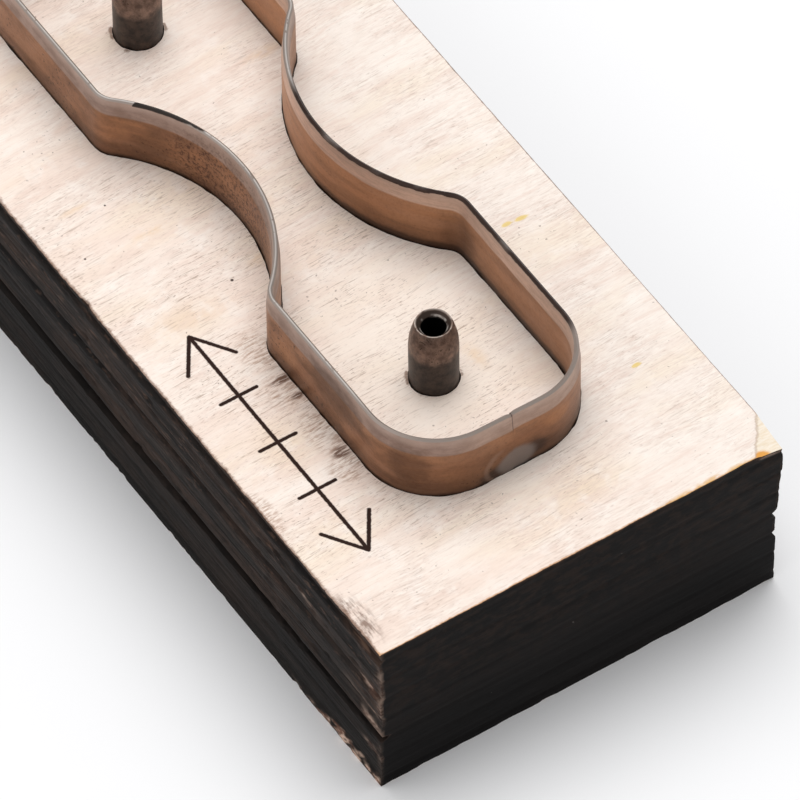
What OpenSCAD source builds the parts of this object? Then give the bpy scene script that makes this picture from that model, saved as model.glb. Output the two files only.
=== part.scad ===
// Steel rule die that stamps one bone-shaped leather strap with a round hole near each end.
// A thin steel rule, bent to the outline, stands in a slot burnt through a plywood board, and a tube
// punch stands in each lobe. Millimetres, Z up, origin at the middle of the board's back.
// X runs across the board, and the rule's butt joint is at the near end, towards -Y.

/* [Outline] */
// Length of the outline, over the outer faces of the rule
outline_l = 68; // [60:0.5:110]
// Width of each lobe, over the outer faces of the rule
lobe_w = 19.4; // [16:0.1:30]
// Width of the waist, over the outer faces of the rule
waist_w = 8; // [6:0.1:12]
// Radius of the lobe corners, at the middle of the strip
corner_r = 6.4; // [3:0.1:7.5]
// Radius of the bend from lobe to neck, at the middle of the strip
shoulder_r = 2.2; // [1.2:0.1:4]
// Radius of the hollow neck, at the middle of the strip
neck_r = 16.5; // [10:0.1:22]

/* [Cutting rule] */
// Height of the rule, from its foot to its edge
rule_h = 23.8; // [21:0.1:32]
// Thickness of the strip
rule_t = 0.71; // [0.5:0.01:1.1]
// Height of the ground edge, from the top of the plain strip
bevel_h = 1.8; // [0.8:0.1:3]
// Thickness left where the long bevels end and the edge facets begin
facet_w = 0.4; // [0.2:0.01:0.45]
// Height of the edge facets
facet_h = 0.17; // [0.1:0.01:0.3]
// Gap between the two ends of the strip at the butt joint
joint_gap = 0.08; // [0.04:0.01:0.3]

/* [Bridges] */
// Length of each wooden bridge that holds the inner board
bridge_l = 6; // [3:0.5:8]
// Depth of the slot above each bridge
bridge_cut = 3; // [2:0.5:6]
// Room between a bridge and its notch in the rule
bridge_clear = 0.15; // [0.05:0.05:0.4]

/* [Tube punches] */
// Distance from the near end of the outline to the axis of the near punch
near_inset = 11.5; // [9:0.1:14]
// Distance from the far end of the outline to the axis of the far punch
far_inset = 12.2; // [9:0.1:14]
// Diameter of the punch's body
punch_d = 4.2; // [3.6:0.1:6]
// Diameter of the cutting rim
punch_rim_d = 3.1; // [2.9:0.1:3.4]
// Height of the rounded taper under the rim
punch_taper_h = 2.8; // [1.5:0.1:4]
// Diameter of the bore behind the rim
punch_bore_d = 2.15; // [1.6:0.05:2.6]
// Width of the cutting rim's flat
rim_flat = 0.08; // [0.04:0.01:0.12]
// Depth of the hollow-ground rim inside the bore
rim_grind_h = 0.45; // [0.2:0.05:1]
// Depth below the rim at which the bore opens out
punch_land_h = 4.5; // [2:0.1:6]
// Diameter of the wider bore that lets the slugs fall out at the back
slug_bore_d = 2.9; // [2.7:0.1:3.2]
// Gap around a punch in its hole
punch_clear = 0.04; // [0.02:0.01:0.15]

/* [Die board] */
// Wood outside the rule at each side
side_margin = 9.8; // [6:0.1:16]
// Wood outside the rule at each end
end_margin = 10; // [6:0.1:20]
// Thickness of each face veneer
face_ply_t = 1; // [0.6:0.1:1.6]
// Thickness of each core ply
core_ply_t = 2.5; // [2:0.1:2.8]
// Number of core plies
core_plies = 6; // [5:1:6]
// How far every second core ply is burnt back
char_step = 0.3; // [0:0.05:0.6]
// Depth of the burnt glue lines on the long sides
glue_line_d = 0.3; // [0.1:0.05:0.6]
// Half height of the burnt glue lines
glue_line_h = 0.2; // [0.1:0.05:0.3]
// Depth of the burnt glue lines on the ends, where the plies are flush
end_line_d = 0.12; // [0.05:0.01:0.4]
// Number of the ply, from the back, whose upper glue line has opened
open_ply = 2; // [1:1:4]
// Depth of the opened glue line on the long sides
open_line_d = 1.4; // [0.6:0.1:3]
// Half height of the opened glue line
open_line_h = 0.4; // [0.2:0.05:0.5]
// Width of the broken corner of the face, along the near end
chip_w = 2.6; // [0.5:0.1:5]
// Length of the broken corner, along the right side
chip_l = 3.8; // [0.5:0.1:6]
// Depth of the broken corner
chip_d = 0.6; // [0.2:0.1:0.9]
// Gap at each face of the rule in its slot
slot_clear = 0.05; // [0.02:0.01:0.15]

/* [Hidden] */
$fn = 96;
through = 1;
bend_step = 4.5;

// The outline at the middle of the strip: two lobes joined by a neck of three tangent arcs a side.
half_l = (outline_l - rule_t) / 2;
half_w = (lobe_w - rule_t) / 2;
half_waist = (waist_w - rule_t) / 2;
bend_sum = neck_r + shoulder_r;
neck_turn = acos(1 - (half_w - half_waist) / bend_sum);
shoulder_y = bend_sum * sin(neck_turn);
side_l = half_l - corner_r - shoulder_y;

board_w = lobe_w + 2 * side_margin;
board_l = outline_l + 2 * end_margin;
plies = core_plies + 2;
board_t = 2 * face_ply_t + core_plies * core_ply_t;
bridge_h = board_t - bridge_cut;
bridge_y = shoulder_y + side_l / 2;
near_y = near_inset - outline_l / 2;
far_y = outline_l / 2 - far_inset;
slot_w = rule_t + 2 * slot_clear;

// Top of a ply, counted from the back, how far its edge is burnt back, and half its glue line's height.
function ply_top(i) = face_ply_t + i * core_ply_t;
function ply_inset(i, step) = i == 0 || i == plies - 1 ? 0 : (i % 2) * step;
function line_half(i) = i == open_ply ? open_line_h : glue_line_h;

// How deep each glue line is burnt, from the back: one has opened along the sides.
side_lines = [for (i = [0 : plies - 2]) i == open_ply ? open_line_d : glue_line_d + char_step];
end_lines = [for (i = [0 : plies - 2]) end_line_d];

// One edge of the board, from the back to the face: flat ply edges with a burnt groove between them.
function edge_points(half, step, lines) = concat(
    [[half, 0]],
    [for (i = [0 : plies - 2]) each [
        [half - ply_inset(i, step), ply_top(i) - line_half(i)],
        [half - lines[i], ply_top(i)],
        [half - ply_inset(i + 1, step), ply_top(i) + line_half(i)]
    ]],
    [[half, board_t]]
);

function mirrored(points) = [for (i = [len(points) - 1 : -1 : 0]) [-points[i][0], points[i][1]]];

module ply_section(edge) {
    polygon(concat(edge, mirrored(edge)));
}

// One bend: places on the middle of the strip, each with the direction that the strip's outer face looks.
function bend(centre, radius, from, to, outer_turn) =
    let (steps = max(2, ceil(abs(to - from) / bend_step)))
    [for (i = [0 : steps])
        let (a = from + (to - from) * i / steps)
        [centre[0] + radius * cos(a), centre[1] + radius * sin(a), a + outer_turn]];

function from_second(list) = [for (i = [1 : len(list) - 1]) list[i]];
function backwards(list) = [for (i = [len(list) - 1 : -1 : 0]) list[i]];

// Corner, shoulder and half a neck, each tangent to the next, then the same for the other quarters.
quarter = concat(
    bend([half_w - corner_r, half_l - corner_r], corner_r, 90, 0, 0),
    bend([half_w - shoulder_r, shoulder_y], shoulder_r, 0, -neck_turn, 0),
    from_second(bend([half_waist + neck_r, 0], neck_r, 180 - neck_turn, 180, 180))
);
near_quarter = [for (p = quarter) [p[0], -p[1], -p[2]]];
right_half = concat(near_quarter, from_second(backwards(quarter)));
left_half = [for (p = backwards(right_half)) [-p[0], p[1], 180 - p[2]]];
outline = concat(right_half, left_half);

// The strip runs once round the outline, from the middle of the near end and back to it.
strip = concat([[joint_gap / 2, -half_l, -90]], outline, [[-joint_gap / 2, -half_l, -90]]);

function beside(p, out) = [p[0] + out * cos(p[2]), p[1] + out * sin(p[2])];

// Section of the rule, across and up: plain strip, long bevels on both faces, then the edge facets.
rule_side = [
    [rule_t / 2, 0],
    [rule_t / 2, rule_h - bevel_h],
    [facet_w / 2, rule_h - facet_h]
];
rule_section = concat(rule_side, [[0, rule_h]], mirrored(rule_side));

// The section carried along the strip, with its two cut ends.
module bent_strip() {
    n = len(rule_section);
    last = (len(strip) - 1) * n;
    points = [for (p = strip, q = rule_section) [each beside(p, q[0]), q[1]]];
    start_end = [for (j = [n - 1 : -1 : 0]) j];
    finish_end = [for (j = [0 : n - 1]) last + j];
    faces = [for (i = [0 : n : last - 1], j = [0 : n - 1])
        [i + j, i + (j + 1) % n, i + n + (j + 1) % n, i + n + j]];
    polyhedron(points, concat([start_end, finish_end], faces), convexity = 8);
}

// The burnt slot, as wide as the strip and its room, through the whole board.
module outline_slot() {
    translate([0, 0, -through])
        linear_extrude(board_t + 2 * through)
            difference() {
                polygon([for (p = outline) beside(p, slot_w / 2)]);
                polygon([for (p = outline) beside(p, -slot_w / 2)]);
            }
}

// A block over each bridge: one in the middle of every straight side of the lobes.
module at_bridges(length, height) {
    for (sx = [-1, 1], sy = [-1, 1])
        translate([sx * half_w, sy * bridge_y, (height - through) / 2])
            cube([2 * slot_w, length, height + through], center = true);
}

module at_punches() {
    for (y = [near_y, far_y])
        translate([0, y, 0])
            children();
}

// The near right corner of the face veneer, broken off along a slanting plane.
module corner_break() {
    slant = [1 / chip_w, -1 / chip_l, 1 / chip_d];
    block = 3 * (chip_w + chip_l);
    translate([board_w / 2, -board_l / 2, board_t])
        rotate([0, acos(slant[2] / norm(slant)), atan2(slant[1], slant[0])])
            translate([0, 0, block / 2 - 1 / norm(slant)])
                cube(block, center = true);
}

module board_blank() {
    intersection() {
        translate([0, board_l / 2, 0])
            rotate([90, 0, 0])
                linear_extrude(board_l)
                    ply_section(edge_points(board_w / 2, char_step, side_lines));
        translate([-board_w / 2, 0, 0])
            rotate([90, 0, 90])
                linear_extrude(board_w)
                    ply_section(edge_points(board_l / 2, 0, end_lines));
    }
}

module die_board() {
    color("burlywood")
        difference() {
            board_blank();
            difference() {
                outline_slot();
                at_bridges(bridge_l, bridge_h);
            }
            at_punches()
                translate([0, 0, -through])
                    cylinder(d = punch_d + 2 * punch_clear, h = board_t + 2 * through);
            corner_break();
        }
}

module cutting_rule() {
    color("rosybrown")
        difference() {
            bent_strip();
            at_bridges(bridge_l + 2 * bridge_clear, bridge_h + bridge_clear);
        }
}

// Half section of a punch: straight body, rounded taper, hollow-ground rim and a stepped bore.
module punch_section() {
    body_r = punch_d / 2;
    taper_in = (punch_d - punch_rim_d) / 2;
    taper_r = (pow(punch_taper_h, 2) + pow(taper_in, 2)) / (2 * taper_in);
    taper_y = rule_h - punch_taper_h;
    step_y = rule_h - punch_land_h;
    difference() {
        union() {
            square([body_r, taper_y]);
            intersection() {
                translate([0, taper_y])
                    square([body_r, punch_taper_h]);
                translate([body_r - taper_r, taper_y])
                    circle(taper_r);
            }
        }
        square([punch_bore_d / 2, rule_h]);
        square([slug_bore_d / 2, step_y]);
        polygon([
            [0, rule_h - rim_grind_h],
            [punch_bore_d / 2, rule_h - rim_grind_h],
            [punch_rim_d / 2 - rim_flat, rule_h],
            [0, rule_h]
        ]);
    }
}

module tube_punch(y) {
    color("dimgray")
        translate([0, y, 0])
            rotate_extrude()
                punch_section();
}

module near_punch() {
    tube_punch(near_y);
}

module far_punch() {
    tube_punch(far_y);
}

die_board();
cutting_rule();
near_punch();
far_punch();
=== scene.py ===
import math
from functools import reduce

import bpy
import numpy as np
from mathutils import Matrix, Vector


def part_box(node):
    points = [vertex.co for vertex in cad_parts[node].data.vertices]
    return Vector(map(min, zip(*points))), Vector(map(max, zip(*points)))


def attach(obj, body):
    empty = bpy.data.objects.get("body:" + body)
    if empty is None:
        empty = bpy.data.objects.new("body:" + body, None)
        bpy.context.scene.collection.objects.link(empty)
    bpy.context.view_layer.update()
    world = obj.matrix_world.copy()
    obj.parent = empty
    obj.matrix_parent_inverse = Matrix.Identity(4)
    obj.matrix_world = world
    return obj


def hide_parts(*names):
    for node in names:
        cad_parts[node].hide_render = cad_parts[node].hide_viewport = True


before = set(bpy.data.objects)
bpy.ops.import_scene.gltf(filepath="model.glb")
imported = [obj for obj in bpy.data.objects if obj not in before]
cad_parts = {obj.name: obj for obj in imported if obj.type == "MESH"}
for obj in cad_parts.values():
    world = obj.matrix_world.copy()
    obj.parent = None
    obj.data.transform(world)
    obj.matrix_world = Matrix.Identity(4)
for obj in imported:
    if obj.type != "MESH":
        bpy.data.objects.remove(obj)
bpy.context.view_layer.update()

mm = 0.001
join = np.concatenate
scene = bpy.context.scene


# Corners of a CAD node, in millimetres
def boxOf(node):
    low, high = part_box(node)
    return np.array(low) / mm, np.array(high) / mm


boardLow, boardHigh = boxOf("die_board")
ruleLow, ruleHigh = boxOf("cutting_rule")
halfX, halfY, faceZ = boardHigh
edgeZ = ruleHigh[2]
print("frame: board", np.round(boardHigh - boardLow, 2), "rule", np.round(ruleHigh - ruleLow, 2))


# Random heights on a square lattice, blended by a smooth step between neighbours: -1 to 1
def lattice(u, v, seed):
    heights = np.random.default_rng(seed).uniform(-1, 1, (256, 256))
    u, v = np.broadcast_arrays(u, v)
    iu, iv = np.floor(u).astype(int), np.floor(v).astype(int)
    fu, fv = u - iu, v - iv
    fu, fv = fu * fu * (3 - 2 * fu), fv * fv * (3 - 2 * fv)
    iu, iv, ju, jv = iu & 255, iv & 255, (iu + 1) & 255, (iv + 1) & 255
    low = heights[iu, iv] * (1 - fu) + heights[ju, iv] * fu
    high = heights[iu, jv] * (1 - fu) + heights[ju, jv] * fu
    return low * (1 - fv) + high * fv


# Three octaves of it, each half as high and twice as fine
def rough(u, v, seed):
    return sum(lattice(u * 2**k, v * 2**k, seed + k) / 2**k for k in range(3)) / 1.5


# 0 below low, 1 above high, smooth between
def ease(value, low, high):
    t = np.clip((value - low) / (high - low), 0, 1)
    return t * t * (3 - 2 * t)


# A hump: 1 at a place, falling off over a width
def hump(value, place, width, power=2):
    return np.exp(-np.abs((value - place) / width) ** power)


# Quads of a rows x columns grid; flip turns them over
def gridQuads(rows, cols, wrap, flip):
    r, c = np.meshgrid(np.arange(rows - 1), np.arange(cols if wrap else cols - 1), indexing="ij")
    d = (c + 1) % cols
    quads = np.stack([r * cols + c, r * cols + d, (r + 1) * cols + d, (r + 1) * cols + c], -1)
    quads = quads.reshape(-1, 4)
    return quads[:, ::-1] if flip else quads


# Puts grids (points in mm, wrap, flip, material number, attributes) into one welded mesh
def meshFrom(name, grids, materials, attributeNames, sharpAngle):
    points, quads, finish, values = [], [], [], {k: [] for k in attributeNames}
    start = 0
    for grid in grids:
        p = grid["points"]
        rows, cols = p.shape[:2]
        q = gridQuads(rows, cols, grid.get("wrap", False), grid.get("flip", False)) + start
        points.append(p.reshape(-1, 3))
        quads.append(q)
        finish.append(np.full(len(q), grid.get("material", 0)))
        for k in attributeNames:
            values[k].append(np.broadcast_to(grid.get(k, 0), (rows, cols)).reshape(-1))
        start += rows * cols
    points, quads, finish = join(points), join(quads), join(finish)
    keys = np.round(points * 1e4).astype(np.int64)
    _, first, inverse = np.unique(keys, axis=0, return_index=True, return_inverse=True)
    quads = inverse.reshape(-1)[quads]
    sides = quads != np.roll(quads, -1, 1)
    keep, slim = sides.sum(1) == 4, sides.sum(1) == 3  # quads that the weld closed up are left out
    order = np.argmin(sides[slim], axis=1)[:, None]
    tris = np.take_along_axis(quads[slim], (order + [1, 2, 3]) % 4, 1)
    faces = quads[keep].tolist() + tris.tolist()
    mesh = bpy.data.meshes.new(name)
    mesh.from_pydata((points[first] * mm).tolist(), [], faces)
    mesh.polygons.foreach_set("material_index", join([finish[keep], finish[slim]]).astype(np.int32))
    for k in attributeNames:
        attribute = mesh.attributes.new(k, "FLOAT", "POINT")
        attribute.data.foreach_set("value", join(values[k])[first].astype(np.float32))
    for material in materials:
        mesh.materials.append(material)
    mesh.update()
    mesh.shade_smooth()
    mesh.set_sharp_from_angle(angle=math.radians(sharpAngle))
    piece = bpy.data.objects.new(name, mesh)
    scene.collection.objects.link(piece)
    print(name, len(mesh.vertices), "points", len(faces), "faces")
    return piece


# A colour written as the screen shows it, 0 to 255
def tone(r, g, b):
    return tuple((c / 255) ** 2.2 for c in (r, g, b)) + (1,)


# A node tree; each method puts in the nodes for one sum and gives back its output
class Sheet:
    def __init__(self, tree):
        self.tree = tree

    # One shader node: feeds are sockets or values by name or number
    def put(self, kind, feeds=None, **settings):
        node = self.tree.nodes.new("ShaderNode" + kind)
        for name, value in settings.items():
            setattr(node, name, value)
        for key, value in (feeds or {}).items():
            if isinstance(value, bpy.types.NodeSocket):
                self.tree.links.new(value, node.inputs[key])
            else:
                node.inputs[key].default_value = value
        return node

    # A shared group, fed by name
    def use(self, group, **feeds):
        return self.put("Group", feeds, node_tree=group).outputs

    # One sum of two values
    def calc(self, operation, a, b=0):
        return self.put("Math", {0: a, 1: b}, operation=operation).outputs[0]

    # Product of all the values
    def times(self, *values):
        return reduce(lambda a, b: self.calc("MULTIPLY", a, b), values)

    # Largest of the values
    def largest(self, *values):
        return reduce(lambda a, b: self.calc("MAXIMUM", a, b), values)

    # low where a mask is 0, low + span where it is 1
    def rising(self, mask, span, low):
        return self.calc("ADD", self.times(mask, span), low)

    # A value pushed up and down by a noise around 0.5
    def shaken(self, value, noise, strength):
        return self.calc("ADD", value, self.times(self.calc("SUBTRACT", noise, 0.5), strength))

    # One sum of two vectors
    def vecCalc(self, operation, a, b, output=0):
        return self.put("VectorMath", {0: a, 1: b}, operation=operation).outputs[output]

    # 0 at low, 1 at high, smooth between; low may be the larger
    def fade(self, value, low, high):
        feeds = {"Value": value, "From Min": low, "From Max": high}
        return self.put("MapRange", feeds, interpolation_type="SMOOTHSTEP").outputs[0]

    # Layered noise from 0 to 1, mostly near 0.5
    def cloud(self, point, scale, detail=3, roughness=0.55):
        feeds = {"Vector": point, "Scale": scale, "Detail": detail, "Roughness": roughness}
        return self.put("TexNoise", feeds).outputs[0]

    # Noise with its own scale along each axis
    def drawnCloud(self, point, scales, detail=3, roughness=0.55):
        return self.cloud(self.vecCalc("MULTIPLY", point, scales), 1, detail, roughness)

    # under x (1 - share) + upper x share
    def over(self, share, under, upper):
        return self.put("Mix", {0: share, 6: under, 7: upper}, data_type="RGBA").outputs[2]

    # A value that the mesh holds at its points
    def painted(self, name):
        return self.put("Attribute", attribute_name=name).outputs["Fac"]

    # Object coordinates in millimetres
    def place(self):
        return self.vecCalc("MULTIPLY", self.put("TexCoord").outputs["Object"], (1 / mm,) * 3)

    # x, y and z of a point
    def axesOf(self, point):
        return self.put("SeparateXYZ", {0: point}).outputs

    # 1 at a point, 0 on an ellipsoid around it
    def spot(self, point, centre, radii):
        shrunk = self.vecCalc("DIVIDE", self.vecCalc("SUBTRACT", point, centre), radii)
        reach = self.put("VectorMath", {0: shrunk}, operation="LENGTH").outputs["Value"]
        return self.fade(reach, 1, 0)

    # The end of a material: a coat, a bump of so much strength and depth in mm, and other sockets
    def surface(self, coat, relief, strength, depth, sockets):
        feeds = {"Strength": strength, "Distance": depth * mm, "Height": relief}
        bump = self.put("Bump", feeds).outputs[0]
        shader = self.put("BsdfPrincipled", {"Base Color": coat.colour, "Normal": bump, **sockets})
        self.put("OutputMaterial", {"Surface": shader.outputs[0]})


# A colour that others are laid over, one after another; it starts as a mix of two
class Coat:
    def __init__(self, sheet, share, under, upper):
        self.sheet = sheet
        self.colour = sheet.over(share, tone(*under), tone(*upper))

    # A shade or another coat over it, as strong as the product of the masks
    def lay(self, shade, *masks):
        upper = shade.colour if isinstance(shade, Coat) else tone(*shade)
        self.colour = self.sheet.over(self.sheet.times(*masks), self.colour, upper)


# An empty material and its sheet
def newMaterial(name):
    material = bpy.data.materials.new(name)
    material.use_nodes = True
    material.node_tree.nodes.clear()
    return material, Sheet(material.node_tree)


# A group from its inputs' first values and its outputs' names
def newGroup(name, inputs, outputs):
    s = Sheet(bpy.data.node_groups.new(name, "ShaderNodeTree"))
    for label, value in inputs.items():
        kind = "NodeSocketVector" if isinstance(value, tuple) else "NodeSocketFloat"
        s.tree.interface.new_socket(label, in_out="INPUT", socket_type=kind).default_value = value
    for label in outputs:
        s.tree.interface.new_socket(label, in_out="OUTPUT", socket_type="NodeSocketFloat")
    return s, s.tree.nodes.new("NodeGroupInput").outputs, s.tree.nodes.new("NodeGroupOutput").inputs


# Noise drawn out along a direction: broad streaks, fine fibres and short pores
def makeFibreGroup():
    inputs = {"Point": (0, 0, 0), "Broad": (1, 1, 1), "Fine": (1, 1, 1), "Short": (1, 1, 1)}
    s, given, out = newGroup("drawnFibres", inputs, ["Streak", "Fibre", "Pore"])
    broad = s.drawnCloud(given["Point"], given["Broad"], 2)
    fine = s.drawnCloud(given["Point"], given["Fine"], 3, 0.65)
    short = s.drawnCloud(given["Point"], given["Short"], 1)
    s.tree.links.new(s.fade(broad, 0.36, 0.66), out["Streak"])
    s.tree.links.new(s.fade(fine, 0.34, 0.7), out["Fibre"])
    s.tree.links.new(s.fade(short, 0.6, 0.74), out["Pore"])
    return s.tree


# Sparse grains of dirt or rust: the tops of a fine noise, more of them where a broad noise is high
def makeSpeckGroup():
    inputs = {"Point": (0, 0, 0), "Grain": 3, "Patch": 0.1, "Cover": 0.3}
    s, given, out = newGroup("strewnSpecks", inputs, ["Speck", "Patch"])
    grain = s.cloud(given["Point"], given["Grain"], 2)
    patch = s.cloud(given["Point"], given["Patch"], 2)
    limit = s.calc("SUBTRACT", 0.86, s.times(given["Cover"], patch))
    s.tree.links.new(s.fade(s.calc("SUBTRACT", grain, limit), 0, 0.06), out["Speck"])
    s.tree.links.new(s.fade(patch, 0.4, 0.65), out["Patch"])
    return s.tree


# How near a point is to the line from one place to another: 1 on it, 0 outside its width
def makeStrokeGroup():
    inputs = {"Point": (0, 0, 0), "From": (0, 0, 0), "To": (1, 0, 0), "Width": 0.3}
    s, given, out = newGroup("burntStroke", inputs, ["Stroke"])
    along = s.vecCalc("SUBTRACT", given["To"], given["From"])
    toPoint = s.vecCalc("SUBTRACT", given["Point"], given["From"])
    reach = s.vecCalc("DOT_PRODUCT", toPoint, along, "Value")
    whole = s.vecCalc("DOT_PRODUCT", along, along, "Value")
    share = s.put("Clamp", {0: s.calc("DIVIDE", reach, whole)}).outputs[0]
    foot = s.put("VectorMath", {0: along, "Scale": share}, operation="SCALE").outputs[0]
    away = s.shaken(s.vecCalc("DISTANCE", toPoint, foot, "Value"), s.cloud(given["Point"], 4), 0.12)
    inside = s.calc("SUBTRACT", s.times(given["Width"], 0.5), away)
    s.tree.links.new(s.fade(inside, -0.05, 0.05), out["Stroke"])
    return s.tree


fibreGroup, speckGroup, strokeGroup = makeFibreGroup(), makeSpeckGroup(), makeStrokeGroup()

outlineShape = {
    "waist": 8,  # over the outer faces
    "thickness": 0.71,
    "cornerR": 6.4,  # radii at the middle of the strip
    "shoulderR": 2.2,
    "neckR": 16.5,
}


# Middle of the strip, once round from the near end: x, y and the angle that the outer face looks.
# Each quarter is a corner, a shoulder and half a hollow neck, all tangent arcs.
def outlineLine(shape):
    half = (ruleHigh[:2] - ruleLow[:2] - shape["thickness"]) / 2
    waist = (shape["waist"] - shape["thickness"]) / 2
    corner, shoulder, neck = shape["cornerR"], shape["shoulderR"], shape["neckR"]
    turn = math.acos(1 - (half[0] - waist) / (neck + shoulder))
    shoulderY = (neck + shoulder) * math.sin(turn)

    # An arc about cx, cy; the outer face looks along the radius, turned by outerTurn
    def bend(cx, cy, radius, start, stop, outerTurn):
        a = np.linspace(start, stop, 121)
        return np.stack([cx + radius * np.cos(a), cy + radius * np.sin(a), a + outerTurn], 1)

    quarter = join([
        [[0, half[1], math.pi / 2]],
        bend(half[0] - corner, half[1] - corner, corner, math.pi / 2, 0, 0),
        bend(half[0] - shoulder, shoulderY, shoulder, 0, -turn, 0)[:-1],
        bend(waist + neck, 0, neck, math.pi - turn, math.pi, -math.pi),
    ])
    right = join([quarter * [1, -1, -1], quarter[-2::-1]])
    left = right[-2::-1] * [-1, 1, -1] + [0, 0, math.pi]
    path = join([right, left])
    run = join([[0], np.cumsum(np.hypot(*np.diff(path[:, :2], axis=0).T))])
    return run, path, (half[0], (shoulderY + half[1] - corner) / 2)


runs, line, bridgeAt = outlineLine(outlineShape)
ruleLength = runs[-1]


# Points beside the line: at a run along it, out by so much
def beside(run, out, z):
    x, y, a = (np.interp(run, runs, line[:, k]) for k in range(3))
    x, y, z = np.broadcast_arrays(x + out * np.cos(a), y + out * np.sin(a), z)
    return np.stack([x, y, z], -1)


boardLook = {
    "stepMm": 0.352,  # width of a column on the sides
    "sideRows": 76,
    "faceVeneer": 1,
    "corePly": 2.5,
    "kerf": 0.07,  # burnt gap at each face of the rule
    "openLine": 6,  # height of the glue line that has come open
    "openDepth": 1.3,
    "splitDepth": 0.45,  # where the opening leaves its line for the one above
    "plyStep": 0.09,  # depths of the burnt long sides
    "groove": 0.17,
    "strata": 0.13,
    "pits": 0.14,
    "leanIn": 0.6,
    "endGroove": 0.07,
    "scorch": 0.5,  # reach of the heat beside the slot
    "chipWidth": 2.6,  # flake off the near right corner of the face
    "chipLength": 3.8,
    "chipDepth": 0.48,
    "chipStep": 0.1,
    "chipSpread": 1.04,  # bared wood over the break itself
    # Pale ridges in the char of the left side: y, z and the reach of each
    "ridges": [(-41.4, 8.6, 1.5, 0.3), (-42.6, 6.9, 1.4, 0.35), (-43, 3.7, 1, 0.4),
               (-32.8, 12.8, 1.2, 0.22), (-42.4, 11, 1.2, 0.3)],
    "nickY": -0.36,  # nick in the left edge
    "nickDepth": 0.4,
    "holeR": 2.15,
    "torn": [(152, 0.24), (-22, 0.13), (215, 0.08)],  # torn fibres: degrees round a punch, height
    "tornReach": 17,
    "bridgeLength": 6,
    "bridgeHeight": 14,
    "grainTurn": -2,  # degrees
    "warmCorner": (-30, -42),  # y over which the char turns browner
}


# Points of the board's outline, once round from the middle of the near end
def boardRim(step):
    nx, ny = 2 * round(halfX / step / 2), 2 * round(halfY / step)
    right = np.linspace(0, halfX, nx + 1)[:-1]
    up = np.linspace(-halfY, halfY, ny + 1)[:-1]
    across = np.linspace(halfX, -halfX, 2 * nx + 1)[:-1]
    left = np.linspace(-halfX, 0, nx + 1)[:-1]
    x = join([right, np.full(ny, halfX), across, np.full(ny, -halfX), left])
    y = join([np.full(nx, -halfY), up, np.full(2 * nx, halfY), -up, np.full(nx, -halfY)])
    return x, y, nx, ny


rimX, rimY, rimNx, rimNy = boardRim(boardLook["stepMm"])
onEnd = (np.abs(rimY) > halfY - 1e-6) & (np.abs(rimX) < halfX - 1e-6)
onLeft = rimX < 1e-6 - halfX


# Run along the rule that faces each rim point: ends go by x, sides by y, meeting at the bend middles
def facingRuns():
    inset = outlineShape["thickness"] / 2 + outlineShape["cornerR"] * (1 - math.sqrt(0.5))
    cx, cy = ruleHigh[0] - inset, ruleHigh[1] - inset
    marks = [int(np.argmin(np.hypot(line[:, 0] - sx * cx, line[:, 1] - sy * cy)))
             for sx, sy in ((1, -1), (1, 1), (-1, 1), (-1, -1))]
    spans = [(0, marks[0], 0, 1), (marks[0], marks[1], 1, 1), (marks[1], marks[2], 0, -1),
             (marks[2], marks[3], 1, -1), (marks[3], len(line) - 1, 0, 1)]
    counts = [rimNx, rimNy, 2 * rimNx, rimNy, rimNx]
    found, start = [], 0
    for (a, b, axis, sign), count in zip(spans, counts):
        part = slice(start, start + count)
        want = sign * (rimX[part] * cx / halfX if axis == 0 else rimY[part] * cy / halfY)
        found.append(np.interp(want, sign * line[a:b + 1, axis], runs[a:b + 1]))
        start += count
    return join(found)


faceRun = facingRuns()


# Distance of a height from the nearest glue line
def fromGlueLine(z):
    half = boardLook["corePly"] / 2
    return np.abs((z - boardLook["faceVeneer"] + half) % boardLook["corePly"] - half)


# How far the face lies below its plane, and where it is broken: a flake off the near right corner, deepest
# at its tip, and a nick in the left edge
def faceDrop(x, y):
    look = boardLook
    across = (halfX - x) / look["chipWidth"] + (y + halfY) / look["chipLength"]
    inChip = 1 - across + 0.1 * rough(x * 0.4, y * 0.4, 53)
    broken = ease(inChip, -0.05, 0.12)
    chip = broken * (look["chipStep"] + look["chipDepth"] * np.clip(inChip, 0, 1))
    nick = look["nickDepth"] * hump(y, look["nickY"], 0.45) * ease(-x, halfX - 0.8, halfX)
    return chip + nick, broken


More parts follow.
